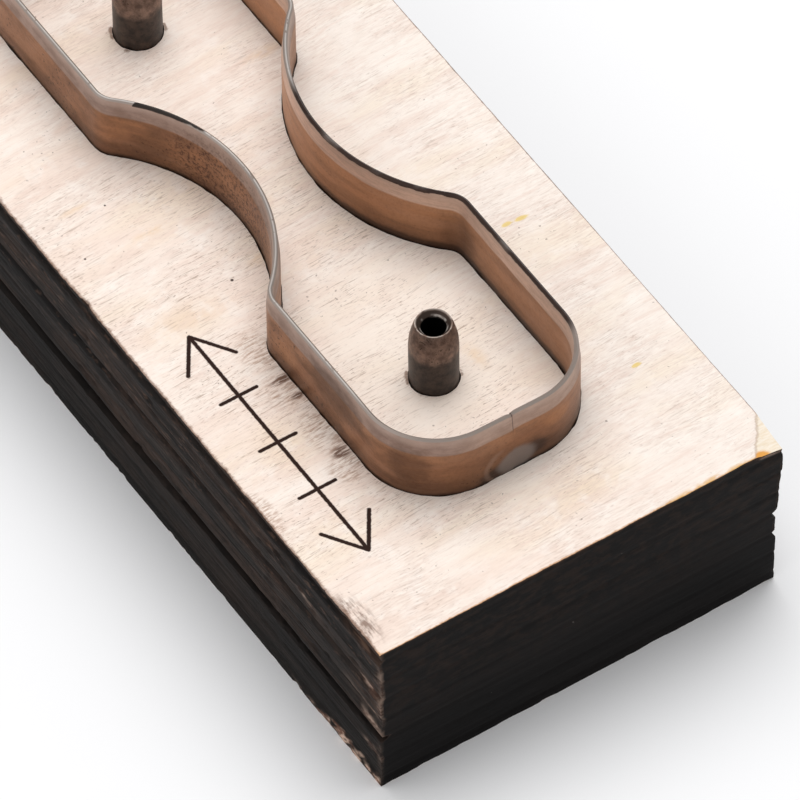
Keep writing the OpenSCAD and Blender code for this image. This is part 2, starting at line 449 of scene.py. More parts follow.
# How far the burnt long sides stand back: every second ply steps in, each glue line is a groove, one of
# them gapes, and soft strata, pits and a ragged foot come from noise drawn out along the board
def longSideInset(z):
    look = boardLook
    u = rimY + 90 * (rimX > 0)
    ply = np.floor((z - look["faceVeneer"]) / look["corePly"])
    steps = look["plyStep"] * (1 + np.cos(ply * math.pi)) + 0.06 * lattice(ply * 1.7, u * 0.02, 3)
    grooves = (look["groove"] + 0.12 * rough(u * 0.06, z * 0.3, 5)) * hump(fromGlueLine(z), 0, 0.18)
    drift = 0.14 * rough(u * 0.04, 0 * z, 11)
    gape = hump(z, look["openLine"] + drift, 0.29 + 0.09 * rough(u * 0.06, 0 * z, 15), 4)
    gape = gape * look["openDepth"] * (0.85 + 0.2 * rough(u * 0.09, 0.2 * z, 13))
    nearRight = (rimX > 0) * ease(-rimY, 34, 42)
    split = nearRight * look["splitDepth"] * hump(z, look["openLine"] + look["corePly"], 0.3)
    nearLeft = (rimX < 0) * ease(-rimY, halfY - 2.5, halfY - 0.3)
    gape = gape * (1 - 0.85 * nearRight - 0.5 * nearLeft) + split
    strata = look["strata"] * rough(u * 0.022, z * 0.75, 17) + 0.045 * rough(u * 0.1, z * 2.3, 23)
    pits = look["pits"] * ease(rough(u * 0.5, z * 1.6, 29), 0.45, 0.75)
    low = np.clip(1 - z / 1.3, 0, 1) ** 1.5
    uneven = 0.6 + 0.8 * lattice(u * 0.13, 0 * z, 39)
    ragged = 0.12 * rough(u * 0.21, z * 0.2, 31) - 0.06 + 0.22 * uneven * rough(u * 0.83, z * 0.7, 37)
    ragged = low * (ragged + 0.1 * lattice(u * 2.9, z * 1.3, 35))
    lean = look["leanIn"] * (rimX > 0) * ease(-rimY, 20, halfY) * ease(faceZ - z, 2, 11)
    nick = look["nickDepth"] * (rimX < 0) * hump(rimY, look["nickY"], 0.45) * hump(z, faceZ, 0.6)
    lowPlies = ease(look["openLine"] - z, 0, 0.5)  # these stand out
    calm = (1 - 0.55 * nearRight) * (1 - 0.6 * lowPlies)
    inset = (0.08 + steps + grooves + strata + pits) * calm + gape + np.maximum(ragged, 0) + lean
    atTop = hump(z, faceZ, 0.4)
    wobble = 0.05 * (1 + rough(u * 0.5, 0 * z, 41)) + 0.03 * (1 + rough(u * 2.1, 0 * z, 43))
    wobble = wobble * np.where(rimX > 0, 0.25, 1)
    return np.maximum(inset * (1 - 0.85 * atTop) + atTop * wobble, 0.01) + nick


# How far the burnt ends stand back: nearly flat, with faint glue lines
def endInset(z):
    u = rimX + 40 * (rimY > 0)
    grooves = boardLook["endGroove"] * hump(fromGlueLine(z), 0, 0.15)
    strata = 0.03 * rough(u * 0.05, z * 0.8, 19) + 0.02 * rough(u * 0.4, z * 1.2, 21)
    low = np.clip(1 - z / 1.2, 0, 1) ** 1.5
    ragged = low * 0.1 * np.maximum(rough(u * 0.6, z * 0.3, 33), 0)
    atTop = hump(z, faceZ, 0.3)
    wobble = 0.04 * (1 + rough(u * 0.9, 0 * z, 45))
    return np.maximum((0.03 + grooves + strata + ragged) * (1 - 0.6 * atTop) + atTop * wobble, 0.01)


# Where pale wood shows through the char of the left side: the largest of splinters along its foot,
# slanting ridges and the worn near corner
def bareWood(z):
    y = rimY
    foot = ease(0.95 - z + 0.7 * rough(y * 0.5, 0 * z, 57), 0, 0.35) * ease(-y, 30, 37)
    foot = foot * ease(rough(y * 1.5, z * 2, 59), -0.3, 0.2)
    ridges = sum(hump(y, yAt, yReach) * hump(z, zAt + 0.22 * (y - yAt), zReach)
                 for yAt, zAt, yReach, zReach in boardLook["ridges"])
    worn = 0.3 * hump(y, -halfY, 0.45) * ease(rough(z * 0.3, y * 0.2, 63), -0.4, 0.5)
    ridges = 0.8 * ridges * ease(rough(y * 0.7, z * 2.5, 61), -0.6, 0.3)
    return onLeft * np.maximum(np.maximum(foot, worn), ridges)


# Points of the sides in rows from the face to the back, how far each stands back and where it is bare
def boardSides():
    t = np.linspace(0, 1, boardLook["sideRows"])[:, None]
    foot = np.clip(0.14 * rough(rimX * 1.3 + 7, rimY * 1.3, 43) - 0.01, 0, None)
    drop, broken = faceDrop(rimX, rimY)
    top = faceZ - drop - 0.03 * np.abs(rough((rimX + rimY) * 0.6, rimX * 0.1, 47))
    z = top + (foot - top) * t
    sideIn, endIn = longSideInset(z), endInset(z)
    points = np.stack([rimX * (1 - sideIn / halfX), rimY * (1 - endIn / halfY), z], -1)
    bare = np.maximum(bareWood(z), broken * hump(z, top, 0.22))
    return points, np.where(onEnd, endIn, sideIn), bare


sidePoints, sideDepth, sideBare = boardSides()


# Points between two rings: ring a at 0, ring b at 1
def between(a, b, shares):
    shares = np.array(shares)[:, None, None]
    return a * (1 - shares) + b * shares


# The same ring at another height
def atHeight(ring, z):
    moved = ring.copy()
    moved[..., 2] = z
    return moved


# 1 on a ring, falling off with the distance from it over a reach
def nearness(points, ring, reach):
    return np.exp(-np.linalg.norm(points - ring, axis=-1) / reach)


faceShares = [0, .006, .016, .035, .07, .13, .22, .34, .48, .62, .73, .79, .83, .865, .895, .92, .942, .962,
              .978, .99, 1]
backShares = [0, .02, .1, .5, .93, 1]
lobeShares = [0, .015, .04, .09, .18, .32, .5, .68, .82, .91, .96, .985, 1]
wallShares = [0, .01, .1, 1]
footZ = 0.05
slotWall = outlineShape["thickness"] / 2 + boardLook["kerf"]
slotOuter = beside(faceRun, slotWall + 0.06 * rough(faceRun * 0.9, 0, 61), faceZ - 0.02)
slotInner = beside(faceRun, -slotWall - 0.05 * rough(faceRun * 0.9, 9, 67), faceZ - 0.02)


# Inner wood: one lobe from the punch hole out to the slot, closed by a straight line across the waist.
# Each ring point looks along its own ray from the hole's axis.
def lobe(side, holeY):
    pick = np.where(slotInner[:, 1] * side >= -1e-6)[0]
    jump = np.argmax(np.diff(pick) > 1) + 1 if np.any(np.diff(pick) > 1) else 0
    ring = slotInner[np.roll(pick, -jump)]
    ends = (ring[-1:], ring[:1])[::side]  # in one order for both lobes, which share the waist's points
    ring = join([ring, between(*ends, np.linspace(0, 1, 18)[1:-1])[::side, 0]])
    angle = np.arctan2(ring[:, 1] - holeY, ring[:, 0])
    radius = boardLook["holeR"] * (1 + 0.02 * rough(angle * 3, side * 5, 71))
    hole = np.stack([radius * np.cos(angle), holeY + radius * np.sin(angle), np.full(len(ring), faceZ)], -1)
    return hole, ring


# A block with eight corners, as a wrapped grid with closed ends
def block(low, high):
    (x0, y0, z0), (x1, y1, z1) = low, high
    ring = np.array([[x0, y0], [x1, y0], [x1, y1], [x0, y1]])
    middle = np.broadcast_to(ring.mean(0), ring.shape)
    stack = [(middle, z1), (ring, z1), (ring, z0), (middle, z0)]
    return np.stack([np.column_stack([r, np.full(4, z)]) for r, z in stack])


# The face runs from the slot to the rim, the sides down to the back, and the slot's walls through
def boardOuter():
    sideTop, sideFoot = sidePoints[0], sidePoints[-1]
    face = between(slotOuter, sideTop, faceShares)
    drop = faceDrop(face[..., 0], face[..., 1])[0]
    lift = 0.02 * rough(face[..., 0] * 0.25, face[..., 1] * 0.9, 73)
    face[1:-1, :, 2] = faceZ - 0.02 - drop[1:-1] + lift[1:-1]
    burnt = np.where(onLeft, 0.36 + 0.3 * hump(rimY, -39.5, 4), np.where(rimX > halfX - 1e-6, 0.07, 0.22))
    heat, rim = nearness(face, slotOuter, boardLook["scorch"]), nearness(face, sideTop, burnt)
    footOuter, footInner = atHeight(slotOuter, footZ), atHeight(slotInner, footZ)
    back = between(footOuter, sideFoot, backShares)
    backHeat, backRim = nearness(back, footOuter, boardLook["scorch"]), nearness(back, sideFoot, 0.3)
    outerWall = between(slotOuter, footOuter, wallShares)
    innerWall = between(slotInner, footInner, wallShares)
    sides = dict(hollow=sideDepth, bare=sideBare, end=onEnd * 1)
    return [
        dict(points=face, wrap=True, flip=True, heat=heat, rim=rim),
        dict(points=sidePoints, wrap=True, flip=True, material=1, **sides),
        dict(points=back, wrap=True, heat=backHeat, rim=backRim),
        dict(points=outerWall, wrap=True, material=1, hollow=1),
        dict(points=innerWall, wrap=True, flip=True, material=1, hollow=1),
    ]


# One lobe's face with fibres torn up round the punch, its back, the hole's wall and the two bridges
def boardInner(side, holeY):
    hole, ring = lobe(side, holeY)
    top = between(hole, ring, lobeShares)
    torn = np.zeros((len(lobeShares), 1))
    torn[:4, 0] = .8, 1, .5, .12
    angle = np.degrees(np.arctan2(hole[:, 1] - holeY, hole[:, 0]))
    lift = sum(height * hump((angle - at + 180) % 360 - 180, 0, boardLook["tornReach"])
               for at, height in boardLook["torn"])
    lift = lift * (0.8 + 0.6 * rough(top[..., 0] * 1.9, top[..., 1] * 1.9, 79))
    top[..., 2] += torn * np.maximum(lift, 0)
    burn = nearness(top, top[0], 0.25 + 1.2 * np.maximum(lift, 0))
    heat = np.maximum(nearness(top, ring, boardLook["scorch"]), burn)
    singed = 0.8 * torn * np.clip(lift / 0.1, 0, 1)
    footHole = atHeight(top[0], footZ)
    grids = [
        dict(points=top, wrap=True, flip=True, heat=heat, rim=singed),
        dict(points=between(footHole, atHeight(ring, footZ), backShares), wrap=True),
        dict(points=between(top[0], footHole, [0, .02, 1]), wrap=True, material=1, hollow=1),
    ]
    half, reach, y = boardLook["bridgeLength"] / 2, 0.7, side * bridgeAt[1]
    for x in (-bridgeAt[0], bridgeAt[0]):
        bridge = block((x - reach, y - half, footZ + 0.01), (x + reach, y + half, boardLook["bridgeHeight"]))
        grids.append(dict(points=bridge, wrap=True, flip=True, material=1, hollow=0.6))
    return grids


# Outer wood and both lobes, welded into one board
def buildBoard(veneer, char):
    grids = boardOuter()
    for side, node in ((-1, "near_punch"), (1, "far_punch")):
        low, high = boxOf(node)
        grids += boardInner(side, (low[1] + high[1]) / 2)
    piece = meshFrom("plywood_board", grids, [veneer, char], ["heat", "rim", "hollow", "bare", "end"], 38)
    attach(piece, "root")
    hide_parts("die_board")


# Burnt direction mark: a double arrow along the left margin with ticks across it
markLook = {"x": -14.2, "start": -34.5, "end": -8, "head": 2.3, "tick": 1.7,
            "ticks": (-27, -21.2, -15.4), "width": 0.36}

veneerLook = {
    "scorched": [((-10.4, -12.4), (2.6, 3.6)), ((-10.4, -17), (3.4, 3.2)), ((-10.6, -22.5), (2.4, 4.4)),
                 ((-11, -26.5), (2.6, 2.6)), ((-18.9, -27), (1.2, 4))],  # middle and reach of each
    "darkest": [((-10.4, -15.9), (1.8, 0.7)), ((-10.2, -18), (1, 0.5)), ((-10.5, -24.9), (1.4, 1))],
    "brushed": [((-18.7, -39.9), (1.7, 4.2))],
    "stains": [((13.4, -13), (0.8, 0.34)), ((14.7, -13.1), (1, 0.34)), ((13.2, -31.2), (0.7, 0.3))],
    "tanStreaks": [((-10.6, 3.4), (3.2, 0.7)), ((-14.5, 9), (2.2, 0.5)), ((-5, -4), (2, 1.4)),
                   ((8, 14), (3, 0.8)), ((3.2, -22.6), (1.2, 2.2))],
    "warmPatches": [((-13.5, -6.5), (6, 3.2)), ((4, -39), (7, 2.2)), ((-14, -22), (3.5, 4))],
    "dots": [((-8.06, -4.93), (0.24, 0.24)), ((-12.4, 7.5), (0.15, 0.15)), ((-16.8, 3.6), (0.17, 0.17))],
    "paintedLightLobe": [((0, -20), (10, 17))],
    "resinX": 12.5,  # on the near edge
    "resinReach": (7.5, 0.7, 1.5),
    "amberX": 17.3,
    "amberReach": (1.5, 0.9, 1.5),
    "paintedLightRight": (-4, 17),  # x over which the wood is painted paler, a painted pool of light on the right
    "crispFrom": (-41, -31),  # y over which pores and hairs grow clearer, and then fainter
    "crispTo": (14, 5),
    "crispLeftOf": (10, 4),  # x
}


# Both ends of each stroke of the mark: its shaft, two heads and the ticks
def markStrokes():
    x, a, b, h, t = (markLook[k] for k in ("x", "start", "end", "head", "tick"))
    strokes = [((x, a), (x, b))]
    strokes += [((x, a), (x + s * h, a + 1.5 * h)) for s in (-1, 1)]
    strokes += [((x, b), (x + s * h, b - 1.5 * h)) for s in (-1, 1)]
    strokes += [((x - t, y), (x + t, y)) for y in markLook["ticks"]]
    return strokes


# Pale veneer, each look laid over the one before: streaks and bands along the grain, painted light on the
# right and inside the lobes, fibres, pores and hairs, specks, scorch, stains, the burnt rim, resin, the
# broken corner and the mark
def veneerFinish():
    look = veneerLook
    material, s = newMaterial("paleVeneer")
    p = s.place()

    # Largest of the listed spots on the face
    def spots(name, point=p):
        return s.largest(*[s.spot(point, (*centre, faceZ), (*reach, 3)) for centre, reach in look[name]])

    turn = (0, 0, math.radians(boardLook["grainTurn"]))
    grain = s.put("Mapping", {"Vector": p, "Rotation": turn}).outputs[0]
    sway = s.times(s.calc("SUBTRACT", s.cloud(p, 0.1, 2), 0.5), 0.9)
    grain = s.vecCalc("ADD", grain, s.put("CombineXYZ", {1: sway}).outputs[0])
    x, y, _ = s.axesOf(p)
    fibres = s.use(fibreGroup, Point=grain, Broad=(0.08, 0.7, 0.5), Fine=(0.8, 5.2, 1), Short=(1.8, 8.5, 1))
    specks = s.use(speckGroup, Point=p, Grain=2.6, Patch=0.12, Cover=0.28)
    warm = s.drawnCloud(grain, (0.05, 0.2, 0.2), 2)
    band = s.drawnCloud(grain, (0.2, 1.5, 0.5), 4, 0.65)
    soot = s.drawnCloud(grain, (0.7, 1.2, 1), 4, 0.65)
    patch = s.fade(s.cloud(p, 0.18, 3), 0.35, 0.65)
    coat = Coat(s, fibres["Streak"], (252, 239, 228), (247, 228, 215))
    # Painted light: the wood painted paler towards the right
    coat.lay((252, 245, 237), s.fade(x, *look["paintedLightRight"]), 0.6)
    coat.lay((248, 230, 206), s.fade(warm, 0.5, 0.72), 0.5)
    coat.lay((238, 212, 180), spots("warmPatches"), 0.55)
    # Painted light: inside the lobes the wood is painted paler, with fainter bands and fibres, where the
    # rule's shadow falls
    paintedLightInLobe = s.fade(spots("paintedLightLobe"), 0, 0.5)
    coat.lay((236, 212, 199), s.fade(band, 0.46, 0.7), s.rising(paintedLightInLobe, -0.3, 0.5))
    coat.lay((255, 246, 238), s.fade(s.cloud(p, 0.5, 4), 0.5, 0.7), 0.5)
    coat.lay((255, 241, 227), paintedLightInLobe, 0.5)
    crisp = s.times(s.fade(y, *look["crispFrom"]), s.fade(y, *look["crispTo"]))
    crisp = s.rising(s.times(crisp, s.fade(x, *look["crispLeftOf"])), 0.9, 0.8)
    fibreShare = s.calc("SUBTRACT", s.rising(patch, 0.36, 0.12), s.times(paintedLightInLobe, 0.1))
    coat.lay((212, 188, 175), fibres["Fibre"], fibreShare)
    coat.lay((160, 136, 122), fibres["Pore"], s.rising(patch, 0.34, 0.1), crisp)
    hairs = s.fade(s.drawnCloud(grain, (0.42, 6, 1), 3, 0.6), 0.57, 0.67)
    coat.lay((172, 150, 134), hairs, s.rising(patch, 0.3, 0.16), crisp)
    coat.lay((104, 84, 74), specks["Speck"], 0.55)
    coat.lay((76, 62, 58), s.fade(spots("dots"), 0.1, 0.7))
    heat = s.painted("heat")
    coat.lay((168, 128, 100), heat, s.fade(soot, 0.35, 0.7), 0.5)
    kerfAt = s.calc("ADD", heat, s.times(soot, 0.3))
    coat.lay((60, 42, 33), s.fade(kerfAt, 0.98, 1.18))
    hatch = s.drawnCloud(grain, (0.8, 4.6, 1), 3, 0.65)
    coat.lay((164, 124, 98), s.fade(spots("scorched"), 0, 0.7), s.fade(hatch, 0.42, 0.64), 0.62)
    coat.lay((98, 66, 50), s.fade(spots("darkest"), 0, 0.8), s.fade(hatch, 0.36, 0.54), 0.85)
    strokes = s.fade(s.drawnCloud(p, (2.6, 0.6, 1), 3, 0.6), 0.4, 0.66)
    coat.lay((122, 94, 80), s.fade(spots("brushed"), 0, 0.6), strokes, 0.8)
    stain = s.times(spots("stains", grain), s.fade(soot, 0.2, 0.5))
    coat.lay((236, 204, 104), s.fade(stain, 0, 0.5), 0.75)
    coat.lay((240, 210, 176), spots("tanStreaks", grain), s.fade(soot, 0.3, 0.6), 0.6)
    edge = s.shaken(s.painted("rim"), s.cloud(p, 1.8, 4, 0.7), 0.9)
    atEnd = s.fade(s.calc("ABSOLUTE", y), halfY - 0.9, halfY - 0.4)
    rimTone = Coat(s, atEnd, (122, 88, 68), (190, 128, 62))
    coat.lay(rimTone, s.fade(edge, 0.35, 0.75), 0.75)
    coat.lay((60, 42, 33), s.fade(edge, 0.85, 1.05))
    resin = s.spot(p, (look["resinX"], -halfY, faceZ), look["resinReach"])
    coat.lay((222, 172, 96), s.fade(resin, 0, 0.6), s.fade(soot, 0.34, 0.6), 0.7)
    wide, long = (boardLook[k] * boardLook["chipSpread"] for k in ("chipWidth", "chipLength"))
    acrossX = s.calc("DIVIDE", s.calc("SUBTRACT", halfX, x), wide)
    acrossY = s.calc("DIVIDE", s.calc("ADD", y, halfY), long)
    across = s.shaken(s.calc("ADD", acrossX, acrossY), s.cloud(p, 0.7, 5, 0.6), 0.5)
    bareTone = Coat(s, fibres["Fibre"], (249, 238, 222), (238, 220, 194))
    amber = s.spot(p, (look["amberX"], -halfY, faceZ - 0.3), look["amberReach"])
    amber = s.shaken(amber, soot, 0.6)
    bareTone.lay((230, 164, 84), s.fade(amber, 0.1, 0.6))
    coat.lay(bareTone, s.fade(across, 1.03, 0.97))
    coat.lay((178, 152, 132), s.fade(across, 0.9, 0.98), s.fade(across, 1.06, 1), 0.5)  # a darker line along its border, painted shadow of its step
    mark = s.largest(*[
        s.use(strokeGroup, Point=p, From=(*a, faceZ), To=(*b, faceZ), Width=markLook["width"])["Stroke"]
        for a, b in markStrokes()])
    coat.lay((44, 26, 18), mark)
    relief = s.calc("ADD", s.times(fibres["Fibre"], -0.5), s.times(fibres["Pore"], -0.8))
    relief = s.calc("ADD", relief, s.times(mark, -3))
    s.surface(coat, relief, 0.3, 0.04, {"Roughness": 0.75, "Specular IOR Level": 0.2})
    return material


# Burnt ply edges: dark strata along the board, tan threads and flecks on the ridges, hollows painted black
# as shade, slot and hole walls painted black, charred and in shade, ends painted blacker as shade, and bare
# wood
def charFinish():
    material, s = newMaterial("charredPly")
    p = s.place()
    _, y, z = s.axesOf(p)
    strata = s.use(fibreGroup, Point=p, Broad=(0.04, 0.04, 0.8), Fine=(0.3, 0.3, 3), Short=(0.3, 0.3, 3.4))
    specks = s.use(speckGroup, Point=p, Grain=2, Patch=0.25, Cover=0.2)
    hollow, end = s.painted("hollow"), s.painted("end")
    tint = s.fade(s.drawnCloud(p, (0.08, 0.08, 0.5), 2), 0.42, 0.68)
    soot = s.drawnCloud(p, (0.9, 0.9, 1.6), 3, 0.6)
    coat = Coat(s, strata["Streak"], (31, 28, 27), (52, 46, 43))
    coat.lay((78, 59, 49), tint, s.rising(s.fade(y, *boardLook["warmCorner"]), 0.3, 0.42))
    coat.lay((26, 23, 22), strata["Fibre"], 0.5)
    ridges = s.fade(hollow, 0.5, 0.2)
    coat.lay((128, 100, 84), strata["Pore"], ridges, s.fade(z, 10, 14), tint, 0.6)
    coat.lay((118, 82, 60), s.fade(z, faceZ - 0.9, faceZ - 0.1), s.fade(soot, 0.46, 0.66), 0.5)
    coat.lay((22, 20, 19), s.fade(soot, 0.48, 0.66), 0.5)
    flecks = s.fade(s.drawnCloud(p, (1.1, 0.7, 2.6), 4, 0.7), 0.56, 0.68)
    coat.lay((104, 82, 70), flecks, s.fade(z, 7, 13), ridges, 0.5)
    openZ = boardLook["openLine"]
    coat.lay((28, 26, 25), s.fade(z, openZ + 0.3, openZ - 0.3), 0.55)
    # Painted shade: the further the side stands back, the blacker, most of all in the gaping glue line; the
    # charred slot and hole walls go black too
    coat.lay((12, 10, 10), s.fade(hollow, 0.45, 0.9))
    # Painted shade: the ends painted blacker than the long sides, as faces turned from the light, and
    # browner in their upper part
    shadedEndTone = Coat(s, strata["Streak"], (19, 17, 17), (26, 24, 24))
    shadedEndTone.lay((44, 34, 29), s.fade(soot, 0.42, 0.66), s.fade(z, 4, 13), 0.7)
    coat.lay(shadedEndTone, end, 0.95)
    coat.lay((140, 134, 130), specks["Speck"], 0.3)
    bareTone = Coat(s, s.fade(soot, 0.42, 0.6), (222, 190, 170), (120, 88, 74))
    coat.lay(bareTone, s.painted("bare"))
    relief = s.calc("ADD", s.times(strata["Fibre"], s.rising(end, -0.8, 1)), s.times(soot, 0.8))
    s.surface(coat, relief, 0.5, 0.08, {"Roughness": 0.7, "Specular IOR Level": 0.12})
    return material


buildBoard(veneerFinish(), charFinish())

ruleLook = {
    "stepMm": 0.2,
    "bevel": 1.8,  # height of the ground band
    "facetWidth": 0.4,
    "facetHeight": 0.17,
    "jointGap": 0.03,
    "jointDip": 0.16,  # the edge is filed down a little at the joint
    "proud": 0.05,  # the left end of the strip stands out by so much at the joint
    "notch": 6.3,
    "notchTop": 14.15,
    "weld": (0.35, 18.1),  # x and z of the heat mark under the joint
    "soot": [(2.3, 18.4, 1.6, 1.5), (-2, 17.5, 2, 1.2), (0.4, 17, 3, 0.7)],  # x, z and reach by it
    # Places painted darker and warmer, painted shade on the strip's bends and runs: middle, reach and
    # strength; the glows are places painted lighter, painted highlights
    "shades": [((-9.7, -22.6, 21.2), (2, 7, 3.8), 0.5), ((-8.6, -31.4, 20.3), (3.6, 3.8, 3.4), 0.44),
               ((-6.5, 9, 19.5), (3, 3.5, 2.8), 0.32), ((8.6, -13.2, 19.5), (3, 3.6, 4), 0.34)],
    "glows": [((4.6, -33.9, 20.7), (2.8, 2, 1.5), 0.4), ((-9.7, -15.8, 20), (2, 2.4, 2.6), 0.3)],
    "neckRust": ((-4.6, 0, 20), (3.5, 13, 6)),
    # y over which a look fades in
    "farLit": (-9, -2), "lowShade": (0, -7), "lowAgain": (-18, -13), "nearBends": (-27, -32),
    "rightFoot": (3, -3), "nearRun": (-32, -33), "seam": (-20, -25), "brightEdge": (-29, -24),
    "blackFrom": 10.5,  # stretch of the left edge painted black, a painted dark reflection on its top, along y, thinning out
    "blackTo": 4.4,
    "darkReflectionFrom": -30,  # stretch of the right edge painted dark, a painted dark reflection on its top, along y
    "darkReflectionTo": 6.5,
}


# Section of the rule carried along its line: feet lift over the bridges, and the ends close on the middle
# of the strip
def buildRule(finish):
    look = ruleLook
    half, gap = look["notch"] / 2, look["jointGap"] / 2
    run = np.linspace(gap, ruleLength - gap, int(ruleLength / look["stepMm"]))
    notches = []
    for sx, sy in ((1, -1), (1, 1), (-1, 1), (-1, -1)):
        at = np.argmin(np.hypot(line[:, 0] - sx * bridgeAt[0], line[:, 1] - sy * bridgeAt[1]))
        centre = runs[at] + (sy * bridgeAt[1] - line[at, 1]) * sx
        notches.append((centre - half, centre + half))
    run = np.sort(join([run] + [[e - 0.004, e + 0.004] for pair in notches for e in pair]))
    inNotch = np.any([(run > a) & (run < b) for a, b in notches], axis=0)
    foot = np.where(inNotch, look["notchTop"], 0)[:, None]
    fromEnd = np.minimum(run, ruleLength - run)
    dip = look["jointDip"] * hump(fromEnd, 0, 0.25)[:, None]
    t, facet = outlineShape["thickness"] / 2, look["facetWidth"] / 2
    bodyShares = np.array([0, .5, .72, .76, .8, .86, .92, .97, 1])
    bevelShares = np.array([.02, .35, .7, 1])
    bevelFoot, facetFoot = edgeZ - look["bevel"], edgeZ - look["facetHeight"]
    bodyZ = foot + (bevelFoot - foot) * bodyShares
    bevelZ = bevelFoot + (facetFoot - dip - bevelFoot) * bevelShares
    z = join([bodyZ, bevelZ, edgeZ - dip, bevelZ[:, ::-1], bodyZ[:, ::-1]], 1)
    bodyOut, bevelOut = np.full(len(bodyShares), t), t + (facet - t) * bevelShares
    out = join([-bodyOut, -bevelOut, [0], bevelOut[::-1], bodyOut[::-1]])
    shift = hump(fromEnd, 0, 2.5) * np.where(run > ruleLength / 2, look["proud"], -0.4 * look["proud"])
    shift = shift + 0.02 * rough(run * 0.12, 0, 83)
    place = np.repeat(run[:, None], len(out), 1)
    tight = 1 - 0.85 * ease(bevelFoot - z, -0.2, 0.5)  # the weld draws the ends together below the bevel
    place[0] = gap * tight[0]
    place[-1] = ruleLength - gap * tight[-1]
    points = beside(place, out + shift[:, None], z)
    ends = beside(place[[0, -1]], 0 * out + shift[[0, -1], None], z[[0, -1]])
    points = join([ends[:1], points, ends[1:]]).transpose(1, 0, 2)
    outer = np.broadcast_to(np.sign(out)[:, None], points.shape[:2])
    foot = dict(points=points[[-1, 0]], flip=True)
    grids = [dict(points=points, outer=outer, flip=True), foot]
    piece = meshFrom("bent_cutting_rule", grids, [finish], ["outer"], 30)
    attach(piece, "root")
    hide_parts("cutting_rule")


# Places of one shade laid over a coat, their borders pushed about by a noise
def patched(s, coat, point, places, noise, shade):
    for centre, reach, share in places:
        found = s.shaken(s.spot(point, centre, reach), noise, 0.6)
        coat.lay(shade, s.fade(found, 0.1, 0.75), share)
